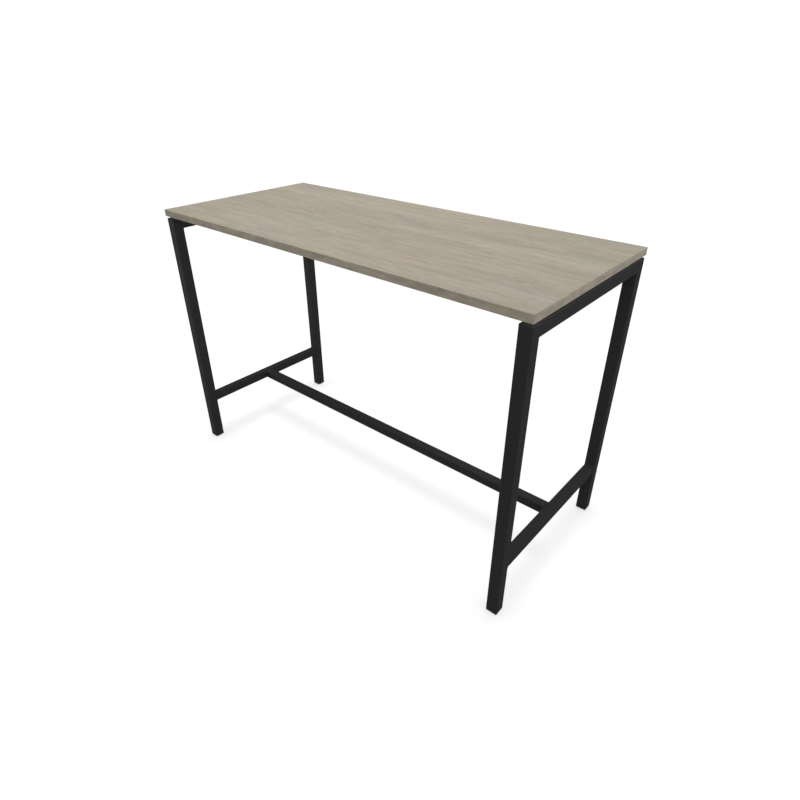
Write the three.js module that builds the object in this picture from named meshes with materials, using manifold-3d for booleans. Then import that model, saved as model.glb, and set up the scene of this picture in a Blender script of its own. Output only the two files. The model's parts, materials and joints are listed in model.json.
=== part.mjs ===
// Standing meeting table: a wood-decor top on two welded steel end frames, which a low stretcher and
// two support beams under the top hold apart. Every leg ends in a plug with a levelling foot.
// Millimetres. X runs along the table, Y from front to rear and Z up. The origin is on the floor,
// under the middle of the top.
import * as THREE from 'three';
import { mergeVertices } from 'three/addons/utils/BufferGeometryUtils.js';
import Module from 'manifold-3d';

// Table top
const TOP_LENGTH = 1600;
const TOP_DEPTH = 700;
const TABLE_HEIGHT = 1050;
const TOP_THICKNESS = 25;
const EDGE_BAND_THICKNESS = 2;
const EDGE_BAND_ROUNDING = 1;

// End frames and stretcher
const SHADOW_GAP = 8;
const FRAME_INSET_X = 1;
const FRAME_INSET_Y = 3;
const LEG_TUBE = 40;
const FOOT_TUBE = 35;
const TUBE_WALL = 2;
const TUBE_CORNER_RADIUS = 3;
const FOOT_RAIL_HEIGHT = 204;
const SPIGOT_LENGTH = 60;
const SPIGOT_WALL = 3;

// Support beams under the top
const BEAM_WIDTH = 20;
const BEAM_HEIGHT = 40;
const BEAM_SPREAD = 320;
const BEAM_PLATE_THICKNESS = 4;
const BEAM_PLATE_MARGIN = 10;
const BEAM_SCREW_OFFSET = 12;

// Fixing of the top
const SPACER_DIAMETER = 20;
const RAIL_FIXING_INSET = 47;
const BEAM_FIXING_INSET = 379;
const ACCESS_HOLE_DIAMETER = 13;
const WOOD_SCREW_DIAMETER = 5;
const WOOD_SCREW_GRIP = 18;
const WOOD_SCREW_HEAD_DIAMETER = 10;
const WOOD_SCREW_HEAD_HEIGHT = 3;

// Machine screws of the stretcher and the beams
const FRAME_SCREW_DIAMETER = 6;
const FRAME_SCREW_LENGTH = 14;
const FRAME_SCREW_HEAD_DIAMETER = 11;
const FRAME_SCREW_HEAD_HEIGHT = 3.3;

// Levelling feet
const FOOT_PAD_DIAMETER = 32;
const FOOT_PAD_THICKNESS = 4;
const FOOT_PAD_FLOOR = 1;
const FOOT_PAD_LIP = 1.2;
const FOOT_PAD_CHAMFER = 0.6;
const SPINDLE_DIAMETER = 8;
const SPINDLE_LENGTH = 36;
const SPINDLE_NECK_DIAMETER = 6.4;
const SPINDLE_COLLAR_DIAMETER = 12;
const SPINDLE_CHAMFER = 0.8;
const SPINDLE_HEX_WIDTH = 13;
const SPINDLE_HEX_HEIGHT = 4;
const PLUG_FLANGE = 2;
const PLUG_DEPTH = 24;

// Clearances
const RUNNING_GAP = 0.3;
const WELD_GAP = 0.15;
const SEAT_GAP = 0.1;
const HEX_CLEARANCE = 1;
const HEX_HEADROOM = 2;
const CUT_MARGIN = 1;

// Facets of round shapes
const CORNER_FACETS = 2;
const SCREW_FACETS = 12;
const ROUND_FACETS = 24;

// Heights and places that follow from these
const topUnderside = TABLE_HEIGHT - TOP_THICKNESS;
const frameTop = topUnderside - SHADOW_GAP;
const legX = TOP_LENGTH / 2 - FRAME_INSET_X - LEG_TUBE / 2;
const legY = TOP_DEPTH / 2 - FRAME_INSET_Y - LEG_TUBE / 2;
const railInnerX = legX - LEG_TUBE / 2;
const footRailLength = 2 * legY - LEG_TUBE - 2 * WELD_GAP;
const stretcherLength = 2 * legX - FOOT_TUBE - 2 * WELD_GAP;
const plugBottom = FOOT_PAD_THICKNESS + RUNNING_GAP;
const legBottom = plugBottom + PLUG_FLANGE + SEAT_GAP;
const beamScrewDrop = Math.min(LEG_TUBE, BEAM_HEIGHT) / 2;
const beamScrewSpread = BEAM_WIDTH + 2 * BEAM_SCREW_OFFSET;
const beamPlateLength = beamScrewSpread + 2 * BEAM_PLATE_MARGIN;
const woodHoleRadius = WOOD_SCREW_DIAMETER / 2 + RUNNING_GAP;
const frameHoleRadius = FRAME_SCREW_DIAMETER / 2 + RUNNING_GAP;
const woodScrewLength = TUBE_WALL + SEAT_GAP + SHADOW_GAP + WOOD_SCREW_GRIP;

const ENDS = [{ name: 'left', sign: -1 }, { name: 'right', sign: 1 }];
const SIDES = [{ name: 'front', sign: -1 }, { name: 'rear', sign: 1 }];

// Materials
const WOOD_DECOR = new THREE.MeshStandardMaterial({ color: 0xaca495, roughness: 0.55, metalness: 0 });
const EDGE_BAND = new THREE.MeshStandardMaterial({ color: 0x9c9484, roughness: 0.5, metalness: 0 });
const BLACK_STEEL = new THREE.MeshStandardMaterial({ color: 0x1c1c1c, roughness: 0.6, metalness: 0.1 });
const BLACK_PLASTIC = new THREE.MeshStandardMaterial({ color: 0x141414, roughness: 0.7, metalness: 0 });
const ZINC_STEEL = new THREE.MeshStandardMaterial({ color: 0xb9bcc0, roughness: 0.35, metalness: 1 });

const wasm = await Module();
wasm.setup();

// Scene graph

function subassembly(parent, name, x, y, z) {
  const group = new THREE.Group();
  group.name = name;
  group.position.set(x, y, z);
  parent.add(group);
  return group;
}

function piece(parent, name, material, geometry, x = 0, y = 0, z = 0) {
  const mesh = new THREE.Mesh(geometry, material);
  mesh.name = name;
  mesh.position.set(x, y, z);
  parent.add(mesh);
  return mesh;
}

// Joining and cutting

function solidOf(geometry) {
  const bare = geometry.clone();
  bare.deleteAttribute('normal');
  bare.deleteAttribute('uv');
  const merged = mergeVertices(bare, 1e-4);
  const corners = merged.index.array;
  const triangles = [];
  for (let i = 0; i < corners.length; i += 3) {
    const [a, b, c] = corners.slice(i, i + 3);
    if (a !== b && b !== c && c !== a) {
      triangles.push(a, b, c);
    }
  }
  const data = {
    numProp: 3,
    vertProperties: new Float32Array(merged.attributes.position.array),
    triVerts: new Uint32Array(triangles),
  };
  return new wasm.Manifold(new wasm.Mesh(data));
}

function geometryOf(solid) {
  const data = solid.getMesh();
  const geometry = new THREE.BufferGeometry();
  geometry.setAttribute('position', new THREE.BufferAttribute(new Float32Array(data.vertProperties), 3));
  geometry.setIndex(new THREE.BufferAttribute(new Uint32Array(data.triVerts), 1));
  geometry.computeVertexNormals();
  return geometry;
}

function shaped(geometry, { joined = [], cut = [] } = {}) {
  let solid = solidOf(geometry);
  for (const addition of joined) {
    solid = solid.add(solidOf(addition));
  }
  for (const cutter of cut) {
    solid = solid.subtract(solidOf(cutter));
  }
  return geometryOf(solid);
}

// Basic shapes

function uprightRod(radius, x, y, z0, z1, facets = SCREW_FACETS) {
  const geometry = new THREE.CylinderGeometry(radius, radius, z1 - z0, facets);
  geometry.rotateX(Math.PI / 2);
  return geometry.translate(x, y, (z0 + z1) / 2);
}

function lengthwiseRod(radius, length, x, y, z) {
  const geometry = new THREE.CylinderGeometry(radius, radius, length, SCREW_FACETS);
  geometry.rotateZ(Math.PI / 2);
  return geometry.translate(x, y, z);
}

function turned(outline, facets) {
  return new THREE.LatheGeometry(outline.map(([r, h]) => new THREE.Vector2(r, h)), facets);
}

function roundedRectangle(path, width, height, radius) {
  const u = width / 2 - radius;
  const v = height / 2 - radius;
  path.absarc(u, v, radius, 0, Math.PI / 2);
  path.absarc(-u, v, radius, Math.PI / 2, Math.PI);
  path.absarc(-u, -v, radius, Math.PI, Math.PI * 1.5);
  path.absarc(u, -v, radius, Math.PI * 1.5, Math.PI * 2);
  path.closePath();
  return path;
}

// A bar along Z whose two ends follow start(u, v) and end(u, v), so that an end can be mitred
function bar(outline, start, end) {
  const settings = { depth: 1, bevelEnabled: false, curveSegments: CORNER_FACETS };
  const geometry = new THREE.ExtrudeGeometry(outline, settings);
  const position = geometry.attributes.position;
  for (let i = 0; i < position.count; i += 1) {
    const u = position.getX(i);
    const v = position.getY(i);
    position.setZ(i, position.getZ(i) < 0.5 ? start(u, v) : end(u, v));
  }
  return geometry;
}

function centredBar(outline, length) {
  return bar(outline, () => -length / 2, () => length / 2);
}

function tubeOutline(width, height, wall) {
  const outline = roundedRectangle(new THREE.Shape(), width, height, TUBE_CORNER_RADIUS);
  const innerRadius = Math.max(TUBE_CORNER_RADIUS - wall, TUBE_CORNER_RADIUS / 4);
  outline.holes.push(roundedRectangle(new THREE.Path(), width - 2 * wall, height - 2 * wall, innerRadius));
  return outline;
}

// Screws: along Z, with the head below zero, the shank above it and a hexagonal socket in the head

function screw(diameter, length, headDiameter, headHeight, tipDiameter, tipLength) {
  const outline = [
    [0, -headHeight],
    [headDiameter * 0.34, -headHeight],
    [headDiameter * 0.46, -headHeight * 0.6],
    [headDiameter * 0.5, -headHeight * 0.15],
    [headDiameter * 0.5, 0],
    [diameter / 2, 0],
    [diameter / 2, length - tipLength],
    [tipDiameter / 2, length],
    [0, length],
  ];
  const body = turned(outline, SCREW_FACETS);
  const socketDepth = headHeight * 0.6;
  const socket = new THREE.CylinderGeometry(diameter * 0.33, diameter * 0.33, socketDepth + CUT_MARGIN, 6);
  socket.translate(0, -headHeight + (socketDepth - CUT_MARGIN) / 2, 0);
  return shaped(body, { cut: [socket] }).rotateX(Math.PI / 2);
}

const woodScrew = screw(
  WOOD_SCREW_DIAMETER,
  woodScrewLength,
  WOOD_SCREW_HEAD_DIAMETER,
  WOOD_SCREW_HEAD_HEIGHT,
  WOOD_SCREW_DIAMETER * 0.2,
  WOOD_SCREW_DIAMETER,
);
const frameScrew = screw(
  FRAME_SCREW_DIAMETER,
  FRAME_SCREW_LENGTH,
  FRAME_SCREW_HEAD_DIAMETER,
  FRAME_SCREW_HEAD_HEIGHT,
  FRAME_SCREW_DIAMETER * 0.8,
  FRAME_SCREW_DIAMETER * 0.1,
);

// Places where the top is fixed: two on each top rail and two on each support beam

const railFixingY = legY - LEG_TUBE / 2 - RAIL_FIXING_INSET;
const beamFixingX = railInnerX - BEAM_FIXING_INSET;
const beamY = BEAM_SPREAD / 2;

// Holes in a tube that lies under the top: one for the screw and a wider one below for the driver
function fixingHoles(x, y, tubeHeight) {
  const top = tubeHeight / 2;
  return [
    uprightRod(woodHoleRadius, x, y, top - TUBE_WALL - CUT_MARGIN, top + CUT_MARGIN),
    uprightRod(ACCESS_HOLE_DIAMETER / 2, x, y, -top - CUT_MARGIN, -top + TUBE_WALL + CUT_MARGIN),
  ];
}

const table = new THREE.Group();
table.name = 'standing_meeting_table';

// Table top: a board with a band on each edge; the long bands cover the ends of the short ones

const top = subassembly(table, 'top', 0, 0, topUnderside);
const boardLength = TOP_LENGTH - 2 * EDGE_BAND_THICKNESS;
const boardDepth = TOP_DEPTH - 2 * EDGE_BAND_THICKNESS;

function board() {
  const slab = new THREE.BoxGeometry(boardLength, boardDepth, TOP_THICKNESS);
  slab.translate(0, 0, TOP_THICKNESS / 2);
  const pilotTop = WOOD_SCREW_GRIP + RUNNING_GAP;
  const cut = [];
  for (const end of ENDS) {
    for (const side of SIDES) {
      for (const [x, y] of [[legX, railFixingY], [beamFixingX, beamY]]) {
        cut.push(uprightRod(woodHoleRadius, end.sign * x, side.sign * y, -CUT_MARGIN, pilotTop));
      }
    }
  }
  return shaped(slab, { cut });
}

// A band along Y that faces +X
function edgeBand(length) {
  const face = EDGE_BAND_THICKNESS;
  const round = Math.min(EDGE_BAND_ROUNDING, EDGE_BAND_THICKNESS - 2 * SEAT_GAP);
  const outline = new THREE.Shape();
  outline.moveTo(SEAT_GAP, 0);
  outline.lineTo(face - round, 0);
  outline.absarc(face - round, round, round, -Math.PI / 2, 0);
  outline.absarc(face - round, TOP_THICKNESS - round, round, 0, Math.PI / 2);
  outline.lineTo(SEAT_GAP, TOP_THICKNESS);
  outline.closePath();
  return centredBar(outline, length).rotateX(Math.PI / 2);
}

piece(top, 'top_board', WOOD_DECOR, board());
for (const end of ENDS) {
  const band = piece(top, `edge_band_${end.name}`, EDGE_BAND, edgeBand(boardDepth), end.sign * boardLength / 2);
  band.rotation.z = end.sign > 0 ? 0 : Math.PI;
}
for (const side of SIDES) {
  const band = piece(top, `edge_band_${side.name}`, EDGE_BAND, edgeBand(TOP_LENGTH), 0, side.sign * boardDepth / 2);
  band.rotation.z = side.sign * Math.PI / 2;
}

// End frames: two legs mitred to a top rail, and a foot rail between the legs

const legOutline = tubeOutline(LEG_TUBE, LEG_TUBE, TUBE_WALL);
const footOutline = tubeOutline(FOOT_TUBE, FOOT_TUBE, TUBE_WALL);

function leg(side) {
  const mitre = (u, v) => frameTop - WELD_GAP - LEG_TUBE / 2 + side.sign * v;
  return bar(legOutline, () => legBottom, mitre);
}

function topRail(end) {
  const mitre = (u, v) => legY - WELD_GAP - v;
  const tube = bar(legOutline, (u, v) => -mitre(u, v), mitre).rotateX(-Math.PI / 2);
  const wallX = -end.sign * (LEG_TUBE - TUBE_WALL) / 2;
  const screwZ = LEG_TUBE / 2 - beamScrewDrop;
  const cut = [];
  for (const side of SIDES) {
    cut.push(...fixingHoles(0, side.sign * railFixingY, LEG_TUBE));
    for (const step of [-1, 1]) {
      const y = side.sign * beamY + step * beamScrewSpread / 2;
      cut.push(lengthwiseRod(frameHoleRadius, TUBE_WALL + 2 * CUT_MARGIN, wallX, y, screwZ));
    }
  }
  return shaped(tube, { cut });
}

for (const end of ENDS) {
  const endFrame = subassembly(table, `end_frame_${end.name}`, end.sign * legX, 0, 0);
  for (const side of SIDES) {
    piece(endFrame, `leg_${side.name}_${end.name}`, BLACK_STEEL, leg(side), 0, side.sign * legY);
  }
  piece(endFrame, `top_rail_${end.name}`, BLACK_STEEL, topRail(end), 0, 0, frameTop - LEG_TUBE / 2);
  const footRail = centredBar(footOutline, footRailLength).rotateX(Math.PI / 2);
  piece(endFrame, `foot_rail_${end.name}`, BLACK_STEEL, footRail, 0, 0, FOOT_RAIL_HEIGHT);
}

// Stretcher: slides over a spigot on each foot rail, and a screw from below locks it there

const stretcherFrame = subassembly(table, 'stretcher_frame', 0, 0, FOOT_RAIL_HEIGHT);
const spigotSize = FOOT_TUBE - 2 * TUBE_WALL - 2 * RUNNING_GAP;
const spigotX = (stretcherLength - SPIGOT_LENGTH) / 2;

function stretcherTube() {
  const tube = centredBar(footOutline, stretcherLength).rotateY(Math.PI / 2);
  const underside = -FOOT_TUBE / 2;
  const cut = ENDS.map(({ sign }) => (
    uprightRod(frameHoleRadius, sign * spigotX, 0, underside - CUT_MARGIN, underside + TUBE_WALL + CUT_MARGIN)
  ));
  return shaped(tube, { cut });
}

function spigot() {
  const tube = centredBar(tubeOutline(spigotSize, spigotSize, SPIGOT_WALL), SPIGOT_LENGTH).rotateY(Math.PI / 2);
  const underside = -spigotSize / 2;
  const thread = uprightRod(frameHoleRadius, 0, 0, underside - CUT_MARGIN, underside + SPIGOT_WALL + CUT_MARGIN);
  return shaped(tube, { cut: [thread] });
}

piece(stretcherFrame, 'stretcher', BLACK_STEEL, stretcherTube());
for (const end of ENDS) {
  const x = end.sign * spigotX;
  piece(stretcherFrame, `stretcher_spigot_${end.name}`, ZINC_STEEL, spigot(), x);
  piece(stretcherFrame, `stretcher_screw_${end.name}`, ZINC_STEEL, frameScrew, x, 0, -FOOT_TUBE / 2 - SEAT_GAP);
}

// Support beams: a flat tube with a plate welded to each end, screwed to the top rails

const plateOuterX = railInnerX - SEAT_GAP;
const plateInnerX = plateOuterX - BEAM_PLATE_THICKNESS;
const plateMiddleX = (plateOuterX + plateInnerX) / 2;

function supportBeam() {
  const outline = tubeOutline(BEAM_HEIGHT, BEAM_WIDTH, TUBE_WALL);
  const tube = centredBar(outline, 2 * (plateInnerX - WELD_GAP)).rotateY(Math.PI / 2);
  return shaped(tube, { cut: ENDS.flatMap(({ sign }) => fixingHoles(sign * beamFixingX, 0, BEAM_HEIGHT)) });
}

function beamPlate() {
  const plate = new THREE.BoxGeometry(BEAM_PLATE_THICKNESS, beamPlateLength, BEAM_HEIGHT);
  const holeLength = BEAM_PLATE_THICKNESS + 2 * CUT_MARGIN;
  const screwZ = BEAM_HEIGHT / 2 - beamScrewDrop;
  const cut = [-1, 1].map((step) => (
    lengthwiseRod(frameHoleRadius, holeLength, 0, step * beamScrewSpread / 2, screwZ)
  ));
  return shaped(plate, { cut });
}

for (const side of SIDES) {
  const beamFrame = subassembly(table, `beam_frame_${side.name}`, 0, side.sign * beamY, frameTop);
  piece(beamFrame, `support_beam_${side.name}`, BLACK_STEEL, supportBeam(), 0, 0, -BEAM_HEIGHT / 2);
  for (const end of ENDS) {
    const plateName = `beam_plate_${side.name}_${end.name}`;
    piece(beamFrame, plateName, BLACK_STEEL, beamPlate(), end.sign * plateMiddleX, 0, -BEAM_HEIGHT / 2);
    for (const [label, step] of [['a', -1], ['b', 1]]) {
      const screwName = `beam_screw_${side.name}_${label}_${end.name}`;
      const x = end.sign * (plateInnerX - SEAT_GAP);
      const y = step * beamScrewSpread / 2;
      const beamScrew = piece(beamFrame, screwName, ZINC_STEEL, frameScrew, x, y, -beamScrewDrop);
      beamScrew.rotation.y = end.sign * Math.PI / 2;
    }
  }
}

// Spacers that hold the top off the frame, and the screws through them

function spacer() {
  const disc = uprightRod(SPACER_DIAMETER / 2, 0, 0, SEAT_GAP, SHADOW_GAP - SEAT_GAP, ROUND_FACETS);
  return shaped(disc, { cut: [uprightRod(woodHoleRadius, 0, 0, 0, SHADOW_GAP)] });
}

for (const end of ENDS) {
  for (const side of SIDES) {
    for (const [carrier, x, y] of [['rail', legX, railFixingY], ['beam', beamFixingX, beamY]]) {
      const place = `${carrier}_${side.name}_${end.name}`;
      const fixing = subassembly(table, `fixing_${place}`, end.sign * x, side.sign * y, frameTop);
      piece(fixing, `spacer_${place}`, BLACK_PLASTIC, spacer());
      piece(fixing, `top_screw_${place}`, ZINC_STEEL, woodScrew, 0, 0, -TUBE_WALL - SEAT_GAP);
    }
  }
}

// Levelling feet: a plug in the leg, a spindle that screws through it and a pad that swivels on the spindle

const padRadius = FOOT_PAD_DIAMETER / 2;
const neckRadius = SPINDLE_NECK_DIAMETER / 2;
const collarRadius = SPINDLE_COLLAR_DIAMETER / 2;
const spindleRadius = SPINDLE_DIAMETER / 2;
const hexRadius = SPINDLE_HEX_WIDTH / Math.sqrt(3);
const pocketTop = FOOT_PAD_THICKNESS - FOOT_PAD_LIP;
const spindleTop = FOOT_PAD_THICKNESS + SPINDLE_LENGTH;

function footPad() {
  const outline = [
    [0, 0],
    [padRadius - FOOT_PAD_CHAMFER, 0],
    [padRadius, FOOT_PAD_CHAMFER],
    [padRadius, FOOT_PAD_THICKNESS - FOOT_PAD_CHAMFER],
    [padRadius - FOOT_PAD_CHAMFER, FOOT_PAD_THICKNESS],
    [neckRadius + RUNNING_GAP, FOOT_PAD_THICKNESS],
    [neckRadius + RUNNING_GAP, pocketTop],
    [collarRadius + RUNNING_GAP, pocketTop],
    [collarRadius + RUNNING_GAP, FOOT_PAD_FLOOR],
    [0, FOOT_PAD_FLOOR],
  ];
  return shaped(turned(outline, ROUND_FACETS).rotateX(Math.PI / 2));
}

function footSpindle() {
  const outline = [
    [0, FOOT_PAD_FLOOR + RUNNING_GAP],
    [collarRadius, FOOT_PAD_FLOOR + RUNNING_GAP],
    [collarRadius, pocketTop - RUNNING_GAP],
    [neckRadius, pocketTop - RUNNING_GAP],
    [neckRadius, plugBottom + SPINDLE_CHAMFER],
    [spindleRadius, plugBottom + 2 * SPINDLE_CHAMFER],
    [spindleRadius, spindleTop - SPINDLE_CHAMFER],
    [spindleRadius - SPINDLE_CHAMFER, spindleTop],
    [0, spindleTop],
  ];
  const hex = uprightRod(hexRadius, 0, 0, plugBottom, plugBottom + SPINDLE_HEX_HEIGHT, 6);
  return shaped(turned(outline, ROUND_FACETS).rotateX(Math.PI / 2), { joined: [hex] });
}

function legPlug() {
  const size = LEG_TUBE - 2 * TUBE_WALL - 2 * RUNNING_GAP;
  const body = roundedRectangle(new THREE.Shape(), size, size, TUBE_CORNER_RADIUS);
  const rim = roundedRectangle(new THREE.Shape(), LEG_TUBE, LEG_TUBE, TUBE_CORNER_RADIUS);
  const mouth = plugBottom - CUT_MARGIN;
  const plugTop = plugBottom + PLUG_DEPTH;
  const pocketEnd = plugBottom + SPINDLE_HEX_HEIGHT + HEX_HEADROOM;
  const flange = bar(rim, () => plugBottom, () => plugBottom + PLUG_FLANGE);
  const cut = [
    uprightRod(spindleRadius + RUNNING_GAP, 0, 0, mouth, plugTop + CUT_MARGIN, ROUND_FACETS),
    uprightRod(hexRadius + HEX_CLEARANCE, 0, 0, mouth, pocketEnd, ROUND_FACETS),
  ];
  return shaped(bar(body, () => plugBottom + PLUG_FLANGE / 2, () => plugTop), { joined: [flange], cut });
}

for (const end of ENDS) {
  for (const side of SIDES) {
    const place = `${side.name}_${end.name}`;
    const foot = subassembly(table, `foot_${place}`, end.sign * legX, side.sign * legY, 0);
    piece(foot, `leg_plug_${place}`, BLACK_PLASTIC, legPlug());
    piece(foot, `foot_spindle_${place}`, ZINC_STEEL, footSpindle());
    piece(foot, `foot_pad_${place}`, BLACK_PLASTIC, footPad());
  }
}

export default table;
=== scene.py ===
"""Looks of the standing meeting table: grey-beige wood decor on a black powder-coated steel frame."""

import json
import math

import bmesh
import bpy
from mathutils import Matrix, Vector

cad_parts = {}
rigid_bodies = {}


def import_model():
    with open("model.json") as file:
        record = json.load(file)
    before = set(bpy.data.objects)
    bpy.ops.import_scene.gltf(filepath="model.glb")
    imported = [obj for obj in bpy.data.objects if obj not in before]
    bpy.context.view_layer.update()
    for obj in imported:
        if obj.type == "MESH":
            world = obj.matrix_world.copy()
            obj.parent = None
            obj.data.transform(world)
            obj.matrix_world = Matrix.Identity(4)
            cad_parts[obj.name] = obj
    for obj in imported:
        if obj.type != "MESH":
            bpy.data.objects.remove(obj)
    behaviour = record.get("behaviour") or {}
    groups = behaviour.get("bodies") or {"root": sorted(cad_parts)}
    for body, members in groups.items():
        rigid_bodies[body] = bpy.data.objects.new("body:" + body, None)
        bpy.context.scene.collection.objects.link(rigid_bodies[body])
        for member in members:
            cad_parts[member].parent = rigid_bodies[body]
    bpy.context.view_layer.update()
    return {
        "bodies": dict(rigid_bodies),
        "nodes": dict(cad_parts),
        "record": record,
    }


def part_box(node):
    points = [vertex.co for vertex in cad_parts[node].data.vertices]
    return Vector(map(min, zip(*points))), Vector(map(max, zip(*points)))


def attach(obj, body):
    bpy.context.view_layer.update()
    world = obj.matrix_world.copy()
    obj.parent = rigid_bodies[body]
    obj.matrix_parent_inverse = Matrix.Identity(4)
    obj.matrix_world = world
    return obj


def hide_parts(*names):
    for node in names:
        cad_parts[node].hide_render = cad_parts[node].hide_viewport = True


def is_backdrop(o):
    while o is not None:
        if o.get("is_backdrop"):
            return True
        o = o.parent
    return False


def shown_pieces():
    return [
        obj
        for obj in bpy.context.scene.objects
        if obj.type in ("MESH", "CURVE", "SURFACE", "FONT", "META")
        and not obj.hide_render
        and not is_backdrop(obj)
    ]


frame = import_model()
nodes = frame["nodes"]

ENDS = {"left": -1, "right": 1}
SIDES = {"front": -1, "rear": 1}
CORNERS = [f"{side}_{end}" for end in ENDS for side in SIDES]
UP = Vector((0, 0, 1))
QUARTER = math.pi / 2
WHITE = (1, 1, 1, 1)


def grey(level):
    return (level, level, level, 1)


def nodes_named(prefix):
    return [name for name in sorted(nodes) if name.startswith(prefix)]


# Node helpers

SOFT_DETAIL = 2.0
FINE_DETAIL = 3.0
EVEN_ROUGHNESS = 0.5
FULL_SPAN = (0.0, 1.0)
NOISE_MIDDLE = 0.5
NOISE_SPAN = (0.3, 0.7)
EDGE_SAMPLES = 4

# Cosines of the bend where an edge starts to count and where it counts in full
EDGE_SPAN = (0.995, 0.85)

# Sockets of a blend of two colours
BLEND_FACTOR = 0
BLEND_FIRST = 6
BLEND_SECOND = 7
BLEND_RESULT = 2


def new_material(name):
    made = bpy.data.materials.new(name)
    made.use_nodes = True
    tree = made.node_tree
    return made, tree, tree.nodes["Principled BSDF"]


def node(tree, kind, inputs=None, **settings):
    made = tree.nodes.new(kind)
    for key, value in settings.items():
        setattr(made, key, value)
    for key, value in (inputs or {}).items():
        if isinstance(value, bpy.types.NodeSocket):
            tree.links.new(value, made.inputs[key])
        else:
            made.inputs[key].default_value = value
    return made


def math_node(tree, operation, first, second):
    return node(tree, "ShaderNodeMath", {0: first, 1: second}, operation=operation).outputs[0]


def total(tree, values):
    result = values[0]
    for value in values[1:]:
        result = math_node(tree, "ADD", result, value)
    return result


def remap(tree, value, span, result):
    low, high = span
    out_low, out_high = result
    inputs = {"Value": value, "From Min": low, "From Max": high, "To Min": out_low, "To Max": out_high}
    return node(tree, "ShaderNodeMapRange", inputs).outputs[0]


def blend_colour(tree, factor, first, second):
    inputs = {BLEND_FACTOR: factor, BLEND_FIRST: first, BLEND_SECOND: second}
    return node(tree, "ShaderNodeMix", inputs, data_type="RGBA").outputs[BLEND_RESULT]


def noise(tree, place, scale, shift, detail=SOFT_DETAIL, roughness=EVEN_ROUGHNESS):
    mapping = {"Vector": place, "Scale": scale, "Location": (shift, 2 * shift, 3 * shift)}
    mapped = node(tree, "ShaderNodeMapping", mapping).outputs[0]
    inputs = {"Vector": mapped, "Scale": 1.0, "Detail": detail, "Roughness": roughness}
    return node(tree, "ShaderNodeTexNoise", inputs).outputs[0]


def object_place(tree):
    return node(tree, "ShaderNodeTexCoord").outputs["Object"]


def bumped(tree, shader, height, strength, distance):
    inputs = {"Height": height, "Strength": strength, "Distance": distance}
    tree.links.new(node(tree, "ShaderNodeBump", inputs).outputs[0], shader.inputs["Normal"])


def edge_mask(tree, radius):
    soft = node(tree, "ShaderNodeBevel", {"Radius": radius}, samples=EDGE_SAMPLES)
    hard = node(tree, "ShaderNodeNewGeometry")
    inputs = {0: soft.outputs[0], 1: hard.outputs["Normal"]}
    along = node(tree, "ShaderNodeVectorMath", inputs, operation="DOT_PRODUCT")
    return remap(tree, along.outputs["Value"], EDGE_SPAN, FULL_SPAN)


# Wood decor of the top and its edge bands

# Layers of the grain from broad to fine: scale along and across it, shift, softness and reach of the shade
TOP_GRAIN = (
    ((0.40, 6.5), 7.7, 0.25, 0.50),
    ((1.6, 18.0), 3.3, 0.25, 0.32),
    ((5.0, 60.0), 2.9, 0.16, 0.38),
    ((20.0, 125.0), 6.4, 0.14, 0.25),
    ((45.0, 380.0), 5.1, 0.22, 0.50),
)
BAND_MOTTLE = ((22.0, 55.0), 4.4, 0.16, 0.55)
BAND_GRAIN = (BAND_MOTTLE,) + TOP_GRAIN
LAYER_ROUGHNESS = 0.55

# Slow waves and small curls that bend the grain: scale along and across it, shift, and reach in metres
GRAIN_BENDS = (
    ((2.2, 7.0), 4.0, 0.014),
    ((17.0, 24.0), 5.8, 0.004),
)

# Pores between the fibres
PORE_SCALES = (55.0, 900.0)
PORE_SHIFT = 9.4
PORE_SPAN = (0.6, 0.7)
PORE_SHADE = 0.5

# Scales of the warm and the cool tints along and across the grain
TOP_TINTS = ((2.2, 14.0), (3.1, 11.0))
BAND_TINTS = ((11.0, 40.0), (15.0, 40.0))
WARM_SHIFT = 1.3
WARM_SPAN = (0.35, 0.65)
COOL_SHIFT = 8.6
COOL_SPAN = (0.5, 0.7)
COOL_SHARES = (0.0, 0.6)
GREEN_TINT = (0.392, 0.360, 0.272, 1)
PINK_TINT = (0.407, 0.350, 0.284, 1)
COOL_TINT = (0.390, 0.350, 0.298, 1)

# Lightness, roughness, gloss and relief that go with the tone of the grain
TONE_SPAN = (-1.5, 1.5)
WOOD_LIGHTNESS = (0.72, 1.28)
WOOD_ROUGHNESS = (0.66, 0.52)
WOOD_GLOSS = 0.15
WOOD_BUMP = {"strength": 0.35, "distance": 0.00005}


def grain_noise(tree, place, scales, shift, **settings):
    along, across = scales
    return noise(tree, place, (along, across, across), shift, **settings)


def bent_grain(tree, place):
    bends = []
    for scales, shift, reach in GRAIN_BENDS:
        bends.append(remap(tree, grain_noise(tree, place, scales, shift), FULL_SPAN, (-reach, reach)))
    drift = node(tree, "ShaderNodeCombineXYZ", {"Y": total(tree, bends)})
    return node(tree, "ShaderNodeVectorMath", {0: place, 1: drift.outputs[0]}).outputs[0]


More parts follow.
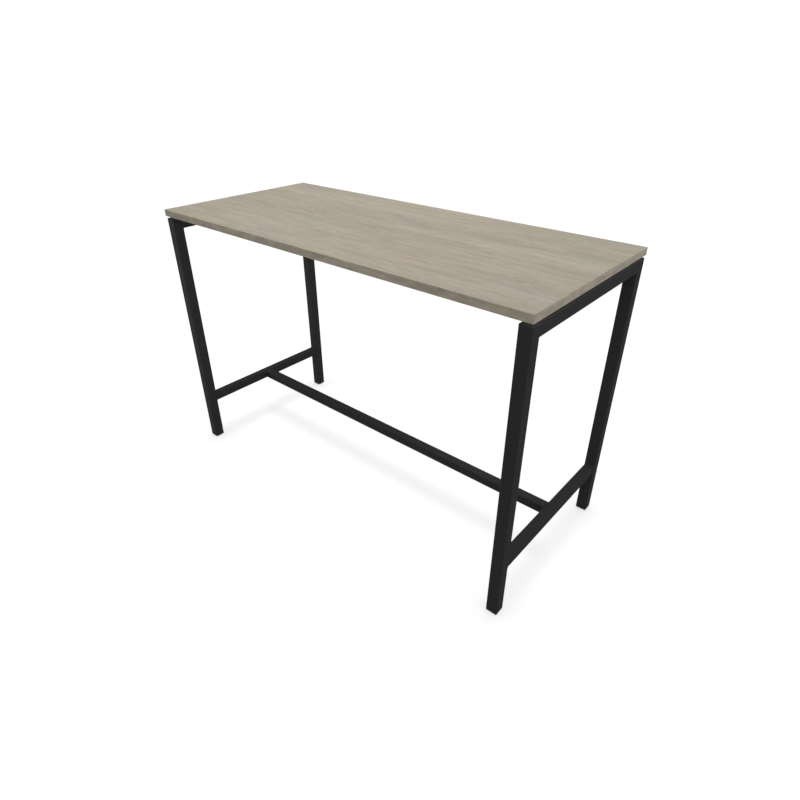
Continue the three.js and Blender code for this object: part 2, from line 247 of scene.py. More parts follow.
def wood_decor(name, grain, tints, grain_along_y=False):
    made, tree, shader = new_material(name)
    place = object_place(tree)
    if grain_along_y:
        turn = {"Vector": place, "Rotation": (0, 0, QUARTER)}
        place = node(tree, "ShaderNodeMapping", turn).outputs[0]
    place = bent_grain(tree, place)
    shades = []
    for scales, shift, softness, reach in grain:
        layer = grain_noise(tree, place, scales, shift, detail=FINE_DETAIL, roughness=LAYER_ROUGHNESS)
        span = (NOISE_MIDDLE - softness, NOISE_MIDDLE + softness)
        shades.append(remap(tree, layer, span, (-reach, reach)))
    fibre = layer
    pore = remap(tree, grain_noise(tree, place, PORE_SCALES, PORE_SHIFT), PORE_SPAN, FULL_SPAN)
    tone = math_node(tree, "SUBTRACT", total(tree, shades), math_node(tree, "MULTIPLY", pore, PORE_SHADE))
    warm_scales, cool_scales = tints
    warm = grain_noise(tree, place, warm_scales, WARM_SHIFT, detail=FINE_DETAIL)
    cool = grain_noise(tree, place, cool_scales, COOL_SHIFT, detail=FINE_DETAIL)
    base = blend_colour(tree, remap(tree, warm, WARM_SPAN, FULL_SPAN), GREEN_TINT, PINK_TINT)
    base = blend_colour(tree, remap(tree, cool, COOL_SPAN, COOL_SHARES), base, COOL_TINT)
    lightness = remap(tree, tone, TONE_SPAN, WOOD_LIGHTNESS)
    shaded = node(tree, "ShaderNodeHueSaturation", {"Color": base, "Value": lightness})
    tree.links.new(shaded.outputs[0], shader.inputs["Base Color"])
    tree.links.new(remap(tree, tone, TONE_SPAN, WOOD_ROUGHNESS), shader.inputs["Roughness"])
    shader.inputs["Specular IOR Level"].default_value = WOOD_GLOSS
    bumped(tree, shader, math_node(tree, "SUBTRACT", fibre, pore), **WOOD_BUMP)
    return made


# Black powder coat of the steel frame: cloudy and gritty, with a painted highlight that lightens its edges

COAT_CLOUDS = {"scale": (9.0, 9.0, 9.0), "shift": 3.1, "detail": FINE_DETAIL}
COAT_GRIT = {"scale": (800.0, 800.0, 800.0), "shift": 6.2, "detail": FINE_DETAIL, "roughness": 0.6}
COAT_DARK = grey(0.022)
COAT_LIGHT = grey(0.0275)
COAT_SPECK = grey(0.047)
SPECK_SPAN = (0.38, 0.66)
SPECK_SHARES = (0.0, 0.6)
COAT_EDGE = 0.0014
# Painted highlight: the edges are lightened towards this colour, more where the clouds are light
COAT_PAINTED_HIGHLIGHT = grey(0.055)
HIGHLIGHT_SPAN = (0.35, 0.7)
HIGHLIGHT_SHARES = (0.1, 0.7)
COAT_ROUGHNESS = (0.80, 0.90)
COAT_UNEVENNESS = (-0.04, 0.04)
COAT_POLISH = 0.12
COAT_GLOSS = 0.03
COAT_BUMP = {"strength": 0.6, "distance": 0.00012}


def powder_coat(name):
    made, tree, shader = new_material(name)
    place = object_place(tree)
    cloud = noise(tree, place, **COAT_CLOUDS)
    grit = noise(tree, place, **COAT_GRIT)
    edge = edge_mask(tree, COAT_EDGE)
    body = blend_colour(tree, cloud, COAT_DARK, COAT_LIGHT)
    speckled = blend_colour(tree, remap(tree, grit, SPECK_SPAN, SPECK_SHARES), body, COAT_SPECK)
    # Painted highlight: a lighter colour along the edges that the bevel mask finds
    painted_highlight = math_node(tree, "MULTIPLY", edge, remap(tree, cloud, HIGHLIGHT_SPAN, HIGHLIGHT_SHARES))
    tree.links.new(blend_colour(tree, painted_highlight, speckled, COAT_PAINTED_HIGHLIGHT), shader.inputs["Base Color"])
    gritty = remap(tree, grit, NOISE_SPAN, COAT_ROUGHNESS)
    uneven = remap(tree, cloud, NOISE_SPAN, COAT_UNEVENNESS)
    polish = math_node(tree, "MULTIPLY", edge, COAT_POLISH)
    matt = math_node(tree, "SUBTRACT", math_node(tree, "ADD", gritty, uneven), polish)
    tree.links.new(matt, shader.inputs["Roughness"])
    shader.inputs["Specular IOR Level"].default_value = COAT_GLOSS
    bumped(tree, shader, grit, **COAT_BUMP)
    return made


# Black moulded plastic of the plugs, pads and spacers

PLASTIC_GRAIN = {"scale": (1600.0, 1600.0, 1600.0), "shift": 2.2}
PLASTIC_CLOUDS = {"scale": (60.0, 60.0, 60.0), "shift": 8.4}
PLASTIC_DARK = grey(0.009)
PLASTIC_LIGHT = (0.014, 0.014, 0.0145, 1)
PLASTIC_EDGE = 0.0008
# Painted highlight: the edges are lightened towards this colour by the share below
PLASTIC_PAINTED_HIGHLIGHT = grey(0.03)
PLASTIC_HIGHLIGHT_SHARE = 0.5
PLASTIC_ROUGHNESS = (0.5, 0.66)
PLASTIC_GLOSS = 0.3
PLASTIC_BUMP = {"strength": 0.3, "distance": 0.00005}


def moulded_plastic(name):
    made, tree, shader = new_material(name)
    place = object_place(tree)
    grain = noise(tree, place, **PLASTIC_GRAIN)
    cloud = noise(tree, place, **PLASTIC_CLOUDS)
    body = blend_colour(tree, cloud, PLASTIC_DARK, PLASTIC_LIGHT)
    # Painted highlight: a lighter colour along the edges that the bevel mask finds
    painted_highlight = math_node(tree, "MULTIPLY", edge_mask(tree, PLASTIC_EDGE), PLASTIC_HIGHLIGHT_SHARE)
    tree.links.new(blend_colour(tree, painted_highlight, body, PLASTIC_PAINTED_HIGHLIGHT), shader.inputs["Base Color"])
    tree.links.new(remap(tree, grain, NOISE_SPAN, PLASTIC_ROUGHNESS), shader.inputs["Roughness"])
    shader.inputs["Specular IOR Level"].default_value = PLASTIC_GLOSS
    bumped(tree, shader, grain, **PLASTIC_BUMP)
    return made


# Zinc-plated steel of the screws and spindles

ZINC_BLOOM = {"scale": (180.0, 180.0, 180.0), "shift": 1.7, "detail": FINE_DETAIL}
ZINC_GRAIN = {"scale": (2400.0, 2400.0, 600.0), "shift": 5.5}
ZINC_DARK = (0.46, 0.47, 0.49, 1)
ZINC_LIGHT = (0.60, 0.61, 0.62, 1)
ZINC_EDGE = 0.0004
# Painted highlight: the edges are lightened towards this colour by the share below
ZINC_PAINTED_HIGHLIGHT = (0.72, 0.73, 0.74, 1)
ZINC_HIGHLIGHT_SHARE = 0.6
ZINC_ROUGHNESS = (0.28, 0.4)
ZINC_UNEVENNESS = (-0.05, 0.05)
ZINC_BUMP = {"strength": 0.15, "distance": 0.00002}


def zinc_steel(name):
    made, tree, shader = new_material(name)
    place = object_place(tree)
    bloom = noise(tree, place, **ZINC_BLOOM)
    grain = noise(tree, place, **ZINC_GRAIN)
    body = blend_colour(tree, bloom, ZINC_DARK, ZINC_LIGHT)
    # Painted highlight: a lighter colour along the edges that the bevel mask finds
    painted_highlight = math_node(tree, "MULTIPLY", edge_mask(tree, ZINC_EDGE), ZINC_HIGHLIGHT_SHARE)
    tree.links.new(blend_colour(tree, painted_highlight, body, ZINC_PAINTED_HIGHLIGHT), shader.inputs["Base Color"])
    cloudy = remap(tree, bloom, NOISE_SPAN, ZINC_ROUGHNESS)
    uneven = remap(tree, grain, NOISE_SPAN, ZINC_UNEVENNESS)
    tree.links.new(math_node(tree, "ADD", cloudy, uneven), shader.inputs["Roughness"])
    shader.inputs["Metallic"].default_value = 1.0
    bumped(tree, shader, grain, **ZINC_BUMP)
    return made


WOOD = wood_decor("wood_decor", TOP_GRAIN, TOP_TINTS)
BAND = wood_decor("edge_band_lengthwise", BAND_GRAIN, BAND_TINTS)
END_BAND = wood_decor("edge_band_crosswise", BAND_GRAIN, BAND_TINTS, grain_along_y=True)
COAT = powder_coat("black_powder_coat")
PLASTIC = moulded_plastic("black_moulded_plastic")
ZINC = zinc_steel("zinc_plated_steel")
SLOT_MATERIALS = {
    "wood_decor": WOOD,
    "edge_band": BAND,
    "black_steel": COAT,
    "black_plastic": PLASTIC,
    "zinc_steel": ZINC,
}


# Finish of the pieces that keep the shape of their solids

MERGE_DISTANCE = 1e-6
SMOOTH_ANGLE = math.radians(55)
BROKEN_EDGES = ("beam_plate", "leg_plug")
BREAK_WIDTH = 0.0004
BREAK_STEPS = 2
BREAK_ANGLE = math.radians(60)
FLAT_FACE_WEIGHT = 100


def smoothing_group():
    group = bpy.data.node_groups.new("smooth_corners", "GeometryNodeTree")
    group.interface.new_socket("Geometry", in_out="INPUT", socket_type="NodeSocketGeometry")
    group.interface.new_socket("Geometry", in_out="OUTPUT", socket_type="NodeSocketGeometry")
    source = node(group, "NodeGroupInput")
    unwanted = {"Geometry": source.outputs[0], "Name": "custom_normal"}
    bare = node(group, "GeometryNodeRemoveAttribute", unwanted)
    joining = {"Geometry": bare.outputs[0], "Distance": MERGE_DISTANCE}
    merged = node(group, "GeometryNodeMergeByDistance", joining)
    smooth = node(group, "GeometryNodeSetShadeSmooth", {"Geometry": merged.outputs[0], "Shade Smooth": True})
    bend = node(group, "GeometryNodeInputMeshEdgeAngle")
    limit = {0: bend.outputs[0], 1: SMOOTH_ANGLE}
    hard = node(group, "FunctionNodeCompare", limit, data_type="FLOAT", operation="GREATER_THAN")
    creases = {"Geometry": smooth.outputs[0], "Selection": hard.outputs[0], "Shade Smooth": False}
    sharp = node(group, "GeometryNodeSetShadeSmooth", creases, domain="EDGE")
    node(group, "NodeGroupOutput", {0: sharp.outputs[0]})
    return group


SMOOTHING = smoothing_group()


def finish_node(name, material):
    piece = nodes[name]
    piece.data.materials.clear()
    piece.data.materials.append(material)
    smoothing = piece.modifiers.new("smooth_corners", "NODES")
    smoothing.node_group = SMOOTHING
    if name.startswith(BROKEN_EDGES):
        broken = piece.modifiers.new("broken_edges", "BEVEL")
        broken.width = BREAK_WIDTH
        broken.segments = BREAK_STEPS
        broken.limit_method = "ANGLE"
        broken.angle_limit = BREAK_ANGLE
    flat = piece.modifiers.new("flat_faces", "WEIGHTED_NORMAL")
    flat.keep_sharp = True
    flat.weight = FLAT_FACE_WEIGHT


for subpart in frame["record"]["subparts"]:
    finish_node(subpart["node"], SLOT_MATERIALS[subpart["material_slot"]])
for end in ENDS:
    nodes[f"edge_band_{end}"].data.materials[0] = END_BAND


# Mesh helpers

CREASE_ANGLE = math.radians(40)
ROUND_STEPS = 48
ARC_STEPS = 6


def new_mesh(name, shape, material):
    verts, faces = shape
    mesh = bpy.data.meshes.new(name)
    mesh.from_pydata(verts, [], faces)
    builder = bmesh.new()
    builder.from_mesh(mesh)
    bmesh.ops.recalc_face_normals(builder, faces=builder.faces)
    for face in builder.faces:
        face.smooth = True
    for edge in builder.edges:
        edge.smooth = edge.calc_face_angle(0.0) < CREASE_ANGLE
    builder.to_mesh(mesh)
    builder.free()
    mesh.materials.append(material)
    return mesh


def new_piece(name, mesh):
    piece = bpy.data.objects.new(name, mesh)
    bpy.context.collection.objects.link(piece)
    return piece


# A shape turned about Z. Each row is a height and a radius, or a function of the angle that gives one.
def revolved(rows, segments):
    verts = []
    faces = []
    rings = []
    for height, radius in rows:
        if radius == 0:
            rings.append([len(verts)] * segments)
            verts.append((0, 0, height))
            continue
        rings.append([len(verts) + step for step in range(segments)])
        for step in range(segments):
            angle = 2 * math.pi * step / segments
            reach = radius(angle) if callable(radius) else radius
            verts.append((reach * math.cos(angle), reach * math.sin(angle), height))
    for lower, upper in zip(rings, rings[1:]):
        for step in range(segments):
            after = (step + 1) % segments
            corners = [lower[step], lower[after], upper[after], upper[step]]
            faces.append(list(dict.fromkeys(corners)))
    return verts, faces


# Rows along an arc about a middle point, from one angle to another. Zero points outwards, a right angle up.
def arc_rows(height, radius, tall, wide, first, last):
    rows = []
    for step in range(ARC_STEPS + 1):
        angle = first + (last - first) * step / ARC_STEPS
        rows.append((height + tall * math.sin(angle), radius + wide * math.cos(angle)))
    return rows


def hexagon(width, limit=math.inf):
    def radius(angle):
        across = (angle % (math.pi / 3)) - math.pi / 6
        return min(width / 2 / math.cos(across), limit)
    return radius


# Threads: rows to a turn, depth as a share of the pitch, steepness of the flanks, and start of the taper
THREAD_ROWS = 8
THREAD_DEPTH = 0.6
THREAD_FLANK = 2.4
TAPER_START = 0.8


def thread_rows(major, pitch, start, end, taper=0.0):
    depth = THREAD_DEPTH * pitch
    count = round((end - start) / pitch * THREAD_ROWS)
    rows = []
    for index in range(count + 1):
        height = start + (end - start) * index / count
        run_out = min(1.0, (index + 1) / THREAD_ROWS, (count - index + 1) / THREAD_ROWS)
        narrow = 1.0 - taper * max(0.0, index / count - TAPER_START) / (1.0 - TAPER_START)

        def radius(angle, height=height, run_out=run_out, narrow=narrow):
            phase = (height / pitch - angle / (2 * math.pi)) % 1.0
            crest = min(1.0, THREAD_FLANK * abs(phase - 0.5)) * run_out
            return narrow * (major / 2 - depth + depth * crest)
        rows.append((height, radius))
    return rows


# Screws: along Z, with the head below zero and a hexagonal socket in it

# Sizes in metres, and whether the end is pointed
FRAME_SCREW = {
    "diameter": 0.006,
    "pitch": 0.001,
    "head": 0.011,
    "head_height": 0.0033,
    "socket": 0.004,
    "pointed": False,
}
WOOD_SCREW = {
    "diameter": 0.005,
    "pitch": 0.0022,
    "head": 0.010,
    "head_height": 0.003,
    "socket": 0.003,
    "pointed": True,
}
SCREW_KINDS = {"stretcher_screw": FRAME_SCREW, "beam_screw": FRAME_SCREW, "top_screw": WOOD_SCREW}

# The head: radii as shares of its width, heights as shares of its height
HEAD_FACE = 0.28
HEAD_ROUNDING = 0.22
HEAD_SEAT = 0.49
HEAD_SIDE = 0.93
SOCKET_FLOOR = 0.45

# The socket's cone and chamfer, in metres
SOCKET_CONE = 0.0003
SOCKET_CHAMFER = 0.0002

# The shank: shares of its diameter, and the plain length under the head in metres
SHANK_NECK = 0.52
NECK_LENGTH = 0.0006
POINT_LENGTH = 0.9
POINT_TAPER = 0.3
FLAT_END_LENGTH = 0.1
FLAT_END_RADIUS = 0.36


def screw_shape(diameter, pitch, head, head_height, socket, pointed, length):
    bottom = -SOCKET_FLOOR * head_height
    mouth = -head_height
    side = mouth + HEAD_SIDE * head_height
    rows = [
        (bottom + SOCKET_CONE, 0),
        (bottom, hexagon(socket)),
        (mouth + SOCKET_CHAMFER, hexagon(socket)),
        (mouth, hexagon(socket + 2 * SOCKET_CHAMFER)),
    ]
    rows += arc_rows(side, HEAD_FACE * head, HEAD_SIDE * head_height, HEAD_ROUNDING * head, -QUARTER, 0)
    rows += [(0, HEAD_SEAT * head), (0, SHANK_NECK * diameter)]
    if pointed:
        rows += thread_rows(diameter, pitch, NECK_LENGTH, length - POINT_LENGTH * diameter, taper=POINT_TAPER)
    else:
        rows += thread_rows(diameter, pitch, NECK_LENGTH, length - FLAT_END_LENGTH * diameter)
        rows.append((length, FLAT_END_RADIUS * diameter))
    rows.append((length, 0))
    return revolved(rows, ROUND_STEPS)


def screw_axis(name):
    if name.startswith("beam_screw"):
        return Vector((ENDS[name.rsplit("_", 1)[1]], 0, 0))
    return UP


def screw_length(name):
    low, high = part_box(name)
    return abs((high - low).dot(screw_axis(name)))


def replace_screws(prefix, kind):
    names = nodes_named(prefix)
    shape = screw_shape(length=screw_length(names[0]) - kind["head_height"], **kind)
    mesh = new_mesh(prefix, shape, ZINC)
    for name in names:
        axis = screw_axis(name)
        low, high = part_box(name)
        seat = (low + high) / 2 - axis * (screw_length(name) / 2 - kind["head_height"])
        piece = new_piece(f"{name}_detailed", mesh)
        piece.matrix_world = Matrix.Translation(seat) @ UP.rotation_difference(axis).to_matrix().to_4x4()
        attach(piece, "table")
        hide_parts(name)


for prefix, kind in SCREW_KINDS.items():
    replace_screws(prefix, kind)


# Spacers between the frame and the top

BORE_CLEARANCE = 0.0003
SPACER_ROUNDING = 0.0006


def spacer_shape(outer, height):
    bore = WOOD_SCREW["diameter"] / 2 + BORE_CLEARANCE
    inset = outer - SPACER_ROUNDING
    rows = [(0, bore)]
    rows += arc_rows(SPACER_ROUNDING, inset, SPACER_ROUNDING, SPACER_ROUNDING, -QUARTER, 0)
    rows += arc_rows(height - SPACER_ROUNDING, inset, SPACER_ROUNDING, SPACER_ROUNDING, 0, QUARTER)
    rows += [(height, bore), (0, bore)]
    return revolved(rows, ROUND_STEPS)


def replace_spacers():
    names = nodes_named("spacer")
    low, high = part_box(names[0])
    mesh = new_mesh("spacer", spacer_shape((high.x - low.x) / 2, high.z - low.z), PLASTIC)
    for name in names:
        low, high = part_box(name)
        piece = new_piece(f"{name}_rounded", mesh)
        piece.location = ((low.x + high.x) / 2, (low.y + high.y) / 2, low.z)
        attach(piece, "table")
        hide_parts(name)


replace_spacers()


# Levelling feet: a rounded pad and a threaded spindle with a hexagon

# The spindle, in metres, with the cut corners of its hexagon as a share of the hexagon's width
SPINDLE_DIAMETER = 0.008
SPINDLE_PITCH = 0.00125
SPINDLE_COLLAR = 0.012
COLLAR_HEIGHT = 0.0012
SPINDLE_NECK = 0.0064
SPINDLE_HEX = 0.013
HEX_HEIGHT = 0.004
HEX_CHAMFER = 0.0006
HEX_CORNER = 0.51
THREAD_RELIEF = 0.0003
TIP_HEIGHT = 0.0008
TIP_CHAMFER = 0.0012

# The pad, in metres, with the groove in its upper face as shares of its radius
PAD_STEPS = 72
PAD_FLOOR = 0.001
PAD_LIP = 0.0012
PAD_ROUNDING = 0.0014
SOLE_ROUNDING = 0.0006
GROOVE_INSIDE = (0.62, 0.64)
GROOVE_OUTSIDE = (0.70, 0.72)
GROOVE_DEPTH = 0.0002


def pad_shape(radius, height):
    bore = SPINDLE_NECK / 2 + BORE_CLEARANCE
    pocket = SPINDLE_COLLAR / 2 + BORE_CLEARANCE
    inner_top, inner_floor = GROOVE_INSIDE
    outer_floor, outer_top = GROOVE_OUTSIDE
    rows = [
        (PAD_FLOOR, 0),
        (PAD_FLOOR, pocket),
        (height - PAD_LIP, pocket),
        (height - PAD_LIP, bore),
        (height - BORE_CLEARANCE, bore),
        (height, bore + BORE_CLEARANCE),
        (height, inner_top * radius),
        (height - GROOVE_DEPTH, inner_floor * radius),
        (height - GROOVE_DEPTH, outer_floor * radius),
        (height, outer_top * radius),
    ]
    rows += arc_rows(height - PAD_ROUNDING, radius - PAD_ROUNDING, PAD_ROUNDING, PAD_ROUNDING, QUARTER, 0)
    rows += arc_rows(SOLE_ROUNDING, radius - SOLE_ROUNDING, SOLE_ROUNDING, SOLE_ROUNDING, 0, -QUARTER)
    rows.append((0, 0))
    return revolved(rows, PAD_STEPS)


def spindle_shape(bottom, top, hex_bottom):
    collar_top = bottom + COLLAR_HEIGHT
    hex_top = hex_bottom + HEX_HEIGHT
    chamfered = hexagon(SPINDLE_HEX, limit=HEX_CORNER * SPINDLE_HEX)
    rows = [
        (bottom, 0),
        (bottom, SPINDLE_COLLAR / 2),
        (collar_top, SPINDLE_COLLAR / 2),
        (collar_top, SPINDLE_NECK / 2),
        (hex_bottom, SPINDLE_NECK / 2),
        (hex_bottom, chamfered),
        (hex_bottom + HEX_CHAMFER, hexagon(SPINDLE_HEX)),
        (hex_top - HEX_CHAMFER, hexagon(SPINDLE_HEX)),
        (hex_top, chamfered),
        (hex_top, SPINDLE_DIAMETER / 2 - THREAD_RELIEF),
    ]
    rows += thread_rows(SPINDLE_DIAMETER, SPINDLE_PITCH, hex_top + THREAD_RELIEF, top - TIP_HEIGHT)
    rows += [(top, SPINDLE_DIAMETER / 2 - TIP_CHAMFER), (top, 0)]
    return revolved(rows, ROUND_STEPS)


def foot_meshes(corner):
    pad_low, pad_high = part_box(f"foot_pad_{corner}")
    low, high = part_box(f"foot_spindle_{corner}")
    hex_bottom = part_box(f"leg_plug_{corner}")[0].z
    pad = new_mesh("foot_pad", pad_shape((pad_high.x - pad_low.x) / 2, pad_high.z), PLASTIC)
    spindle = new_mesh("foot_spindle", spindle_shape(low.z, high.z, hex_bottom), ZINC)
    return pad, spindle


def replace_feet():
    pad_mesh, spindle_mesh = foot_meshes(CORNERS[0])
    for corner in CORNERS:
        low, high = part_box(f"foot_pad_{corner}")
        axis_place = Vector(((low.x + high.x) / 2, (low.y + high.y) / 2, 0))
        pad = new_piece(f"foot_pad_{corner}_rounded", pad_mesh)
        pad.location = axis_place
        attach(pad, f"foot_pad_{corner}")
        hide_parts(f"foot_pad_{corner}")
        spindle = new_piece(f"foot_spindle_{corner}_threaded", spindle_mesh)
        spindle.location = axis_place
        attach(spindle, f"foot_spindle_{corner}")
        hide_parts(f"foot_spindle_{corner}")


replace_feet()


# Welds

# Lengths in metres; the toe, bulge, ends and ripples of a bead are shares of its size
TUBE_CORNER = 0.003
PATH_STEP = 0.0005
RAIL_BEAD = 0.0022
MITRE_BEAD = 0.0028
BEAM_BEAD = 0.0025
BEAD_ROOT = 0.0018
BEAD_TOE = 0.3
BEAD_BULGE = 0.12
BEAD_END = 0.25
BEAD_STEPS = 6
RIPPLE_LENGTH = 0.0024
RIPPLE_DEPTH = 0.10
SEAM_WIDTH = 0.003
SEAM_HEIGHT = 0.00012
SEAM_SHOULDER = 0.7
SEAM_ROOT = 0.0006


# A closed strip along a path. Each path point gives the corners of one cross-section.
def swept(sections, closed):
    verts = []
    faces = []
    count = len(sections[0])
    for section in sections:
        verts += section
    last = len(sections) if closed else len(sections) - 1
    for index in range(last):
        here = index * count
        there = (index + 1) % len(sections) * count
        for corner in range(count):
            after = (corner + 1) % count
            faces.append([here + corner, here + after, there + after, there + corner])
    if not closed:
        faces.append(list(range(count)))
        faces.append(list(range((len(sections) - 1) * count, len(sections) * count)))
    return verts, faces


def joined(shapes):
    verts = []
    faces = []
    for shape_verts, shape_faces in shapes:
        first = len(verts)
        verts += shape_verts
        faces += [[first + corner for corner in face] for face in shape_faces]
    return verts, faces


# One cross-section of a fillet bead in the corner between two surfaces, along which out_a and out_b point
def bead_section(corner, out_a, out_b, size):
    section = [corner - BEAD_TOE * size * out_a + size * out_b]
    for step in range(BEAD_STEPS + 1):
        share = step / BEAD_STEPS
        bulge = BEAD_BULGE * math.sin(math.pi * share)
        section.append(corner + size * ((share + bulge) * out_a + (1 - share + bulge) * out_b))
    section.append(corner + size * out_a - BEAD_ROOT * out_b)
    section.append(corner - BEAD_TOE * size * out_a - BEAD_ROOT * out_b)
    return section


def rippled(size, along):
    return size * (1 - RIPPLE_DEPTH * abs(math.sin(math.pi * along / RIPPLE_LENGTH)))


def straight_bead(start, end, out_a, out_b, size):
    run = (end - start).length
    count = round(run / PATH_STEP)
    sections = []
    for index in range(count + 1):
        along = run * index / count
        ending = min(1.0, along / size, (run - along) / size)
        girth = rippled(size, along) * (BEAD_END + (1 - BEAD_END) * math.sqrt(ending))
        sections.append(bead_section(start.lerp(end, index / count), out_a, out_b, girth))
    return swept(sections, closed=False)


# Points of a rounded square with their outward directions, at even steps
def square_loop(width, radius):
    flat = width / 2 - radius
    loop = []
    for quarter in range(4):
        turn = Matrix.Rotation(quarter * QUARTER, 2)
        for step in range(round(2 * flat / PATH_STEP)):
            point = Vector((width / 2, -flat + step * PATH_STEP))
            loop.append((turn @ point, turn @ Vector((1, 0))))
        arc_steps = round(QUARTER * radius / PATH_STEP)
        for step in range(arc_steps):
            angle = QUARTER * step / arc_steps
            outward = Vector((math.cos(angle), math.sin(angle)))
            loop.append((turn @ (Vector((flat, flat)) + radius * outward), turn @ outward))
    return loop


def rail_bead(rail_low, rail_high, face_y, side):
    middle = (rail_low + rail_high) / 2
    sections = []
    for index, (point, outward) in enumerate(square_loop(rail_high.z - rail_low.z, TUBE_CORNER)):
        corner = Vector((middle.x + point.x, face_y, middle.z + point.y))
        out_leg = Vector((outward.x, 0, outward.y))
        out_rail = Vector((0, -side, 0))
        sections.append(bead_section(corner, out_leg, out_rail, rippled(RAIL_BEAD, index * PATH_STEP)))
    return swept(sections, closed=True)


def mitre_seam(leg_low, leg_high, side):
    middle = (leg_low + leg_high) / 2
    half = (leg_high.x - leg_low.x) / 2
    shoulder = SEAM_SHOULDER * SEAM_HEIGHT
    sections = []
    for point, outward in square_loop(2 * half, TUBE_CORNER):
        corner = Vector((middle.x + point.x, middle.y + point.y, leg_high.z - half + side * point.y))
        leg_out = Vector((outward.x, outward.y, 0))
        rail_out = Vector((outward.x, 0, side * outward.y))
        ridge_out = (leg_out + rail_out).normalized()
        leg_edge = corner - SEAM_WIDTH * UP
        rail_edge = corner - SEAM_WIDTH * side * Vector((0, 1, 0))
        sections.append([
            leg_edge - SEAM_HEIGHT * leg_out,
            leg_edge.lerp(corner, 0.5) + shoulder * leg_out,
            corner + SEAM_HEIGHT * ridge_out,
            rail_edge.lerp(corner, 0.5) + shoulder * rail_out,
            rail_edge - SEAM_HEIGHT * rail_out,
            corner - SEAM_ROOT * ridge_out,
        ])
    return swept(sections, closed=True)


def add_weld(name, shapes):
    piece = new_piece(name, new_mesh(name, joined(shapes), COAT))
    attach(piece, "table")


def weld_end_frame(end):
    rail_low, rail_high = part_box(f"foot_rail_{end}")
    rail_beads = []
    mitres = []
    for side, side_sign in SIDES.items():
        leg_low, leg_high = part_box(f"leg_{side}_{end}")
        inner_y = leg_high.y if side_sign < 0 else leg_low.y
        inner_z = leg_high.z - (leg_high.x - leg_low.x)
        start = Vector((leg_low.x + TUBE_CORNER / 2, inner_y, inner_z))
        stop = Vector((leg_high.x - TUBE_CORNER / 2, inner_y, inner_z))
        rail_beads.append(rail_bead(rail_low, rail_high, inner_y, side_sign))
        mitres.append(mitre_seam(leg_low, leg_high, side_sign))
        mitres.append(straight_bead(start, stop, -UP, Vector((0, -side_sign, 0)), MITRE_BEAD))
    add_weld(f"foot_rail_welds_{end}", rail_beads)
    add_weld(f"mitre_welds_{end}", mitres)


def weld_beam(side):
    beam_low, beam_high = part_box(f"support_beam_{side}")
    beads = []
    for end, end_sign in ENDS.items():
        plate_low, plate_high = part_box(f"beam_plate_{side}_{end}")
        plate_x = plate_low.x if end_sign > 0 else plate_high.x
        for beam_y, outward in ((beam_low.y, -1), (beam_high.y, 1)):
            start = Vector((plate_x, beam_y, beam_low.z + TUBE_CORNER))
            stop = Vector((plate_x, beam_y, beam_high.z - TUBE_CORNER))
            out_plate = Vector((0, outward, 0))
            out_beam = Vector((-end_sign, 0, 0))
            beads.append(straight_bead(start, stop, out_plate, out_beam, BEAM_BEAD))
    add_weld(f"beam_welds_{side}", beads)


for end in ENDS:
    weld_end_frame(end)
for side in SIDES:
    weld_beam(side)


# Floor and sky

FLOOR_SIZE = 14.0
FLOOR_CELLS = 8
FLOOR_DROP = 0.0005
FLOOR_CLOUDS = {"scale": (3.0, 3.0, 3.0), "shift": 0.0}
FLOOR_TONE = grey(0.2)
FLOOR_CLOUD_TONE = grey(0.194)
FLOOR_ROUGHNESS = 0.9
FLOOR_LIFT = 0.632
SKY_LIGHT = 0.61


def background_rays(tree):
    rays = node(tree, "ShaderNodeLightPath").outputs
    seen = math_node(tree, "MAXIMUM", rays["Is Camera Ray"], rays["Is Glossy Ray"])
    return math_node(tree, "MAXIMUM", seen, rays["Is Transmission Ray"])


# Pale and matt from above, clear from below
def floor_material():
    made, tree, shader = new_material("pale_floor")
    cloud = noise(tree, object_place(tree), **FLOOR_CLOUDS)
    tree.links.new(blend_colour(tree, cloud, FLOOR_TONE, FLOOR_CLOUD_TONE), shader.inputs["Base Color"])
    shader.inputs["Roughness"].default_value = FLOOR_ROUGHNESS
    shader.inputs["Specular IOR Level"].default_value = 0.0
    shader.inputs["Emission Color"].default_value = WHITE
    lift = math_node(tree, "MULTIPLY", background_rays(tree), FLOOR_LIFT)
    tree.links.new(lift, shader.inputs["Emission Strength"])
    below = node(tree, "ShaderNodeNewGeometry").outputs["Backfacing"]
    clear = node(tree, "ShaderNodeBsdfTransparent").outputs[0]
    one_sided = node(tree, "ShaderNodeMixShader", {0: below, 1: shader.outputs[0], 2: clear})
    tree.links.new(one_sided.outputs[0], tree.nodes["Material Output"].inputs["Surface"])
    return made


def pale_floor():
    builder = bmesh.new()
    bmesh.ops.create_grid(builder, x_segments=FLOOR_CELLS, y_segments=FLOOR_CELLS, size=FLOOR_SIZE / 2)
    mesh = bpy.data.meshes.new("floor")
    builder.to_mesh(mesh)
    builder.free()
    mesh.materials.append(floor_material())
    floor = new_piece("floor", mesh)
    floor.location.z = -FLOOR_DROP
    floor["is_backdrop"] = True
    return floor


# The floor stays under the foot that is screwed out furthest
def keep_under_feet(floor):
    for corner in CORNERS:
        rule = floor.constraints.new("FLOOR")
        rule.target = frame["bodies"][f"foot_pad_{corner}"]
        rule.floor_location = "FLOOR_NEGATIVE_Z"
        rule.offset = -FLOOR_DROP


def white_world():
    world = bpy.data.worlds.new("studio")
    bpy.context.scene.world = world
    world.use_nodes = True
    tree = world.node_tree
    lighting = tree.nodes["Background"]
    lighting.inputs["Color"].default_value = WHITE
    lighting.inputs["Strength"].default_value = SKY_LIGHT
    backdrop = node(tree, "ShaderNodeBackground", {"Color": WHITE, "Strength": 1.0})
    inputs = {0: background_rays(tree), 1: lighting.outputs[0], 2: backdrop.outputs[0]}
    mixed = node(tree, "ShaderNodeMixShader", inputs)
    tree.links.new(mixed.outputs[0], tree.nodes["World Output"].inputs["Surface"])


floor = pale_floor()
keep_under_feet(floor)
white_world()


# Lamps

